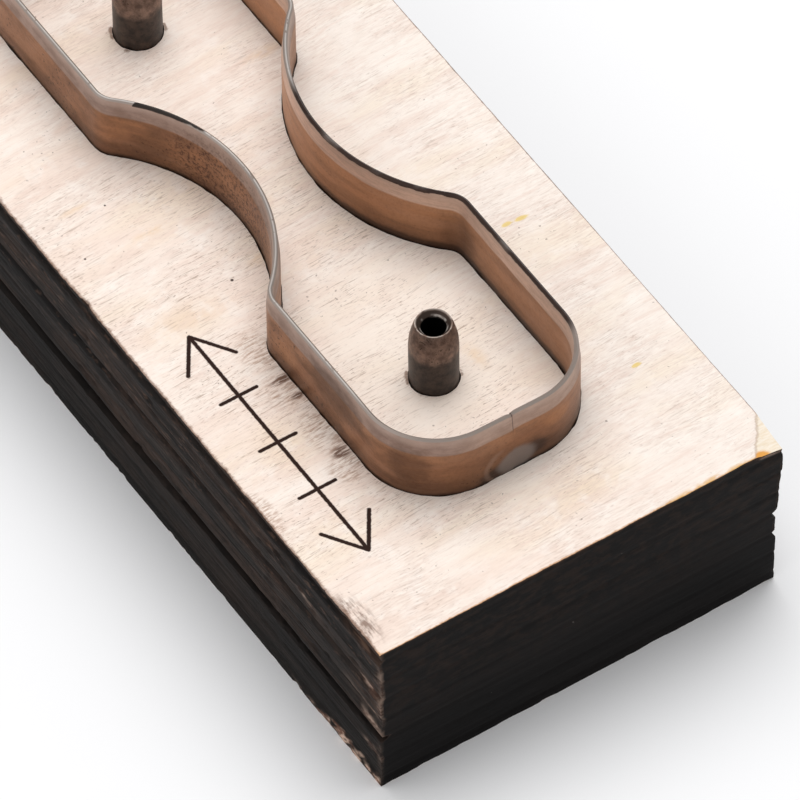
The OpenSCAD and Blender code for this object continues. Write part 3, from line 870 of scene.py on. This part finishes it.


# Oiled strip: blotched brown body with a painted sheen band, painted light on the right run, painted shade
# low down and at its foot, rust and painted glints on the neck, the ground bevel, patches of painted shade
# and painted highlight, seam and heat mark at the joint, and the edge with a painted highlight on some
# stretches and a painted dark reflection on others
def ruleFinish():
    look = ruleLook
    material, s = newMaterial("oiledRuleSteel")
    p = s.place()
    x, y, z = s.axesOf(p)
    lines = s.use(fibreGroup, Point=p, Broad=(0.2, 0.2, 0.5), Fine=(0.5, 0.5, 4.5), Short=(1.5, 1.5, 3))
    specks = s.use(speckGroup, Point=p, Grain=3, Patch=0.12, Cover=0.42)
    blotch = s.drawnCloud(p, (0.55, 0.55, 0.9), 5, 0.62)
    grit = s.cloud(p, 3.2, 4, 0.7)
    bands = s.drawnCloud(p, (0.08, 0.08, 0.7), 1)
    bevelFoot, facetFoot = edgeZ - look["bevel"], edgeZ - look["facetHeight"]
    inner = s.fade(s.painted("outer"), 0.05, -0.05)
    rightRun = s.times(s.fade(x, 1, 4), inner)
    paintedLightFar = s.fade(y, *look["farLit"])
    coat = Coat(s, lines["Streak"], (136, 96, 71), (156, 111, 80))
    coat.lay((108, 80, 63), s.fade(blotch, 0.42, 0.68), 0.45)
    coat.lay((100, 76, 60), lines["Fibre"], 0.14)
    # Painted light: the right run's inner face painted paler, more on its far part
    coat.lay((206, 151, 110), rightRun, s.rising(paintedLightFar, 0.32, 0.38))
    coat.lay((172, 130, 102), s.fade(bands, 0.48, 0.64), 0.4)
    coat.lay((104, 76, 58), s.fade(bands, 0.46, 0.34), 0.3)
    sheenBand = s.times(s.fade(z, faceZ + 0.8, faceZ + 2.4), s.fade(z, bevelFoot, bevelFoot - 1.6))
    coat.lay((176, 126, 92), sheenBand, 0.14)
    # Painted highlights: lighter patches on the body
    patched(s, coat, p, look["glows"], blotch, (186, 132, 90))
    # Painted shade: darker low down on the right run and the near bends, and darker again towards the foot,
    # where the strip meets the board
    again = s.rising(s.fade(y, *look["lowAgain"]), 0.4, 0.6)
    lowRight = s.times(rightRun, s.fade(y, *look["lowShade"]), again)
    lowPart = s.largest(lowRight, s.fade(y, *look["nearBends"]))
    coat.lay((76, 52, 38), lowPart, s.fade(z, faceZ + 3.8, faceZ + 0.4), 0.38)
    coat.lay((92, 68, 52), s.fade(z, faceZ + 2, faceZ), 0.4)
    footAt = s.shaken(z, blotch, 0.8)
    coat.lay((56, 42, 34), s.fade(footAt, faceZ + 0.4, faceZ), 0.7)
    rightFoot = s.fade(footAt, faceZ + 1, faceZ + 0.45)
    coat.lay((48, 33, 24), rightRun, s.fade(y, *look["rightFoot"]), rightFoot, 0.7)
    neck = s.fade(s.spot(p, *look["neckRust"]), 0, 0.5)
    rust = s.times(s.fade(grit, 0.49, 0.6), s.rising(neck, 0.7, 0.12))
    coat.lay((74, 46, 36), rust)
    # Painted glints: pale grains on the grit, more of them on the neck
    coat.lay((172, 132, 108), s.fade(grit, 0.42, 0.32), s.rising(neck, 0.25, 0.08))
    coat.lay((52, 40, 34), specks["Speck"], specks["Patch"], s.fade(rightRun, 1.6, -0.2), 0.7)
    groundAt = s.shaken(z, blotch, 0.3)
    ground = s.fade(groundAt, bevelFoot - 0.12, bevelFoot + 0.12)
    groundTone = Coat(s, s.fade(blotch, 0.35, 0.65), (158, 136, 126), (140, 117, 106))
    groundTone.lay((206, 180, 164), s.fade(y, *look["nearRun"]), s.fade(x, -6.5, -3), 0.35)
    # Painted light: the right run's bevel painted paler, more on its far part
    groundTone.lay((230, 197, 177), rightRun, s.rising(paintedLightFar, 0.24, 0.66))
    groundTone.lay((124, 106, 98), lines["Fibre"], 0.3)
    groundTone.lay((100, 80, 70), rust, 0.6)
    groundTone.lay((188, 168, 157), s.fade(z, edgeZ - 1.1, edgeZ - 0.3), 0.45)
    coat.lay(groundTone, ground)
    # Painted shade: darker patches on the bends and runs
    patched(s, coat, p, look["shades"], blotch, (62, 42, 31))
    seam = s.times(s.fade(s.calc("ABSOLUTE", x), 0.09, 0.03), s.fade(y, *look["seam"]))
    coat.lay((66, 52, 46), seam, s.fade(z, bevelFoot - 1, bevelFoot + 0.3), 0.6)
    weldX, weldZ = look["weld"]
    nearY = ruleLow[1]
    lens = s.shaken(s.spot(p, (weldX, nearY, weldZ), (4.4, 1, 3.2)), blotch, 0.3)
    heated = s.times(s.fade(y, nearY + 0.3, nearY + 0.1), s.fade(ground, 1, 0.4))
    sooty = s.largest(*[s.spot(p, (sx, nearY, sz), (rx, 1, rz)) for sx, sz, rx, rz in look["soot"]])
    coat.lay((58, 45, 39), s.fade(s.shaken(sooty, blotch, 0.6), 0, 0.8), heated, 0.75)
    leftOfIt = s.fade(x, weldX - 0.8, weldX - 2.2)
    coat.lay((158, 132, 116), s.fade(lens, 0.14, 0.24), s.fade(lens, 0.4, 0.28), leftOfIt, heated, 0.4)
    coat.lay((134, 124, 119), s.fade(lens, 0.5, 0.8), heated, 0.9)
    # Painted dark reflection: the tip facet and inner top of the right run painted dark over a stretch,
    # broken up by a noise
    darkReflectionFrom, darkReflectionTo = look["darkReflectionFrom"], look["darkReflectionTo"]
    darkReflectionY = s.times(s.fade(y, darkReflectionFrom, darkReflectionFrom + 2), s.fade(y, darkReflectionTo, darkReflectionTo - 3))
    reflectionBreakup = s.fade(s.drawnCloud(p, (0.3, 0.3, 0.3), 4, 0.6), 0.3, 0.5)
    paintedDarkReflection = s.times(s.fade(x, 1, 2), darkReflectionY, s.rising(reflectionBreakup, 0.25, 0.75))
    facet = s.fade(z, facetFoot - 0.06, facetFoot)
    innerTop = s.times(inner, s.fade(s.shaken(z, blotch, 0.7), edgeZ - 0.34, edgeZ - 0.24))
    coat.lay((168, 156, 148), facet, 0.8)
    # Painted highlight: a thin bright line along the very edge
    paintedEdgeHighlight = s.times(s.fade(z, edgeZ - 0.08, edgeZ - 0.03), s.fade(lines["Pore"], 0.9, 0.3))
    coat.lay((238, 233, 228), paintedEdgeHighlight, s.fade(y, *look["brightEdge"]), 0.75)
    coat.lay((66, 52, 47), paintedDarkReflection, s.largest(facet, innerTop))
    # Painted dark reflection: the top of the left edge painted black over a stretch, thinning out along y
    span = {"Value": y, "From Min": look["blackFrom"], "From Max": look["blackTo"]}
    reach = s.put("MapRange", span).outputs[0]
    thinning = s.calc("SUBTRACT", groundAt, s.times(reach, 0.32))
    paintedDarkReflectionLeft = s.times(s.fade(x, -2, -3), s.fade(reach, 0, 0.01), s.fade(reach, 1, 0.9))
    coat.lay((40, 33, 30), paintedDarkReflectionLeft, s.fade(thinning, edgeZ - 0.4, edgeZ - 0.32), 0.95)
    sheen = s.put("MapRange", {"Value": blotch, "To Min": 0.32, "To Max": 0.6}).outputs[0]
    relief = s.calc("ADD", s.times(lines["Fibre"], 0.5), blotch)
    s.surface(coat, relief, 0.25, 0.05, {"Metallic": 0.7, "Roughness": sheen})
    return material


buildRule(ruleFinish())

punchLook = {"rimR": 1.55, "taper": 2.8, "boreR": 1.075, "flat": 0.08, "grind": 0.45, "land": 4.5,
             "slugR": 1.45, "around": 112}


# Half section of the punch turned about its axis, with a little unevenness from the grinding
def buildPunch(name, node, finish, seed):
    look = punchLook
    low, high = boxOf(node)
    centre, bodyR, h = (low + high) / 2, (high[0] - low[0]) / 2, high[2]
    taperFoot, step = h - look["taper"], h - look["land"]
    drop = bodyR - look["rimR"]
    bigR = (look["taper"] ** 2 + drop**2) / (2 * drop)
    rise = np.linspace(0, look["taper"], 15)
    bodyZ = [0, h * .5, h * .7, h * .74, h * .8, taperFoot - 0.02]
    boreR = [look["rimR"] - look["flat"], look["boreR"], look["boreR"], look["slugR"], look["slugR"], bodyR]
    boreZ = [h, h - look["grind"], step, step, 0, 0]
    r = join([[bodyR] * len(bodyZ), bodyR - bigR + np.sqrt(bigR**2 - rise**2), boreR])[:, None]
    z = join([bodyZ, taperFoot + rise, boreZ])[:, None]
    a = np.linspace(0, 2 * math.pi, look["around"], endpoint=False)
    uneven = 1 - 0.01 * (1 + rough(a * 2.2 + seed, z * 1.4, seed))
    uneven[-len(boreR):-1] = 1
    uneven[-1] = uneven[0]  # the foot closes on the first ring
    x, y, z = np.broadcast_arrays(centre[0] + r * uneven * np.cos(a), centre[1] + r * uneven * np.sin(a), z)
    bore = (np.arange(len(r)) > len(r) - len(boreR))[:, None] * 1
    grid = dict(points=np.stack([x, y, z], -1), wrap=True, bore=bore)
    piece = meshFrom(name, [grid], [finish], ["bore"], 28)
    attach(piece, "root")
    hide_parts(node)


# Blackened steel: near-black body, brown-grey ground taper, painted highlights on the rim and the bore's
# lip, and a bore painted black as shade
def punchFinish():
    material, s = newMaterial("blackPunchSteel")
    p = s.place()
    _, _, z = s.axesOf(p)
    specks = s.use(speckGroup, Point=p, Grain=3, Patch=0.4, Cover=0.4)
    patch = s.cloud(p, 1.5, 5, 0.65)
    coat = Coat(s, s.fade(patch, 0.3, 0.7), (40, 34, 31), (76, 63, 55))
    taperFoot = edgeZ - punchLook["taper"]
    ground = s.fade(s.shaken(z, patch, 0.4), taperFoot - 0.5, taperFoot + 0.45)
    groundTone = Coat(s, s.fade(patch, 0.35, 0.65), (100, 82, 73), (148, 124, 110))
    coat.lay(groundTone, ground)
    coat.lay((44, 36, 32), specks["Speck"], 0.7)
    bore = s.painted("bore")
    highlightArcs = s.fade(s.cloud(p, 0.9, 2), 0.42, 0.56)
    # Painted highlights: pale arcs on the rim's flat top and, brighter, on the lip of the bore
    coat.lay((176, 166, 158), s.fade(z, edgeZ - 0.1, edgeZ - 0.03), highlightArcs, 0.6)
    coat.lay((68, 55, 48), s.fade(bore, 0.08, 0.3))
    coat.lay((196, 186, 178), s.fade(bore, 0.6, 0.8), highlightArcs, 0.85)
    # Painted shade: the bore painted darker than the blackened body below the grind
    coat.lay((14, 12, 11), bore, s.fade(z, edgeZ - punchLook["grind"] + 0.02, edgeZ - 0.7))
    s.surface(coat, patch, 0.5, 0.05, {"Metallic": 0.5, "Roughness": 0.48})
    return material


punchSteel = punchFinish()
buildPunch("tube_punch_near", "near_punch", punchSteel, 5)
buildPunch("tube_punch_far", "far_punch", punchSteel, 9)

stageLook = {"floor": 3, "worldLevel": 0.41, "keyWatts": 10.15, "lampSize": 1,
             "keyFrom": (0.2, 0.28, 1.05), "fillWatts": 1.6, "fillFrom": (-0.9, 0.1, 0.55)}


# One plain white, without a sheen
def floorFinish():
    material, s = newMaterial("whiteFloor")
    shader = s.put("BsdfDiffuse", {"Color": (0.96, 0.96, 0.97, 1)})
    s.put("OutputMaterial", {"Surface": shader.outputs[0]})
    return material


# A square just under the board's back
def buildFloor():
    s = stageLook["floor"] / mm
    corners = np.array([[[-s, -s, 0], [s, -s, 0]], [[-s, s, 0], [s, s, 0]]]) / 2 - [0, 0, 0.02]
    floor = meshFrom("floor", [dict(points=corners)], [floorFinish()], [], 30)


# A square lamp that looks at the origin
def areaLight(name, place, watts, size):
    light = bpy.data.lights.new(name, "AREA")
    light.energy, light.size = watts, size
    lamp = bpy.data.objects.new(name, light)
    lamp.location = place
    lamp.rotation_euler = (-Vector(place)).to_track_quat("-Z", "Y").to_euler()
    scene.collection.objects.link(lamp)


buildFloor()
areaLight("keyLight", stageLook["keyFrom"], stageLook["keyWatts"], stageLook["lampSize"])
areaLight("fillLight", stageLook["fillFrom"], stageLook["fillWatts"], stageLook["lampSize"])
world = bpy.data.worlds.new("studio")
world.use_nodes = True
background = world.node_tree.nodes["Background"].inputs
background["Color"].default_value = (1, 1, 1, 1)
background["Strength"].default_value = stageLook["worldLevel"]
scene.world = world
scene.view_settings.view_transform = "Standard"

cameraLook = {"lens": 540, "azimuth": -32.862, "elevation": 50.952, "roll": -0.741, "distance": 967.9,
              "target": (-3.636, -23.025, 17)}


# Stands back from its target along the azimuth and elevation, then rolls about its view
def buildCamera():
    a, e, r = (math.radians(cameraLook[k]) for k in ("azimuth", "elevation", "roll"))
    back = Vector((math.sin(a) * math.cos(e), -math.cos(a) * math.cos(e), math.sin(e)))
    right = Vector((0, 0, 1)).cross(back).normalized()
    up = back.cross(right)
    right, up = math.cos(r) * right + math.sin(r) * up, math.cos(r) * up - math.sin(r) * right
    data = bpy.data.cameras.new("photoCamera")
    data.lens, data.sensor_width, data.clip_end = cameraLook["lens"], 36, 20
    camera = bpy.data.objects.new("photoCamera", data)
    place = (Vector(cameraLook["target"]) + back * cameraLook["distance"]) * mm
    turn = Matrix((right, up, back)).transposed().to_4x4()
    camera.matrix_world = Matrix.Translation(place) @ turn
    scene.collection.objects.link(camera)
    scene.camera = camera


buildCamera()
print("stage and camera set")
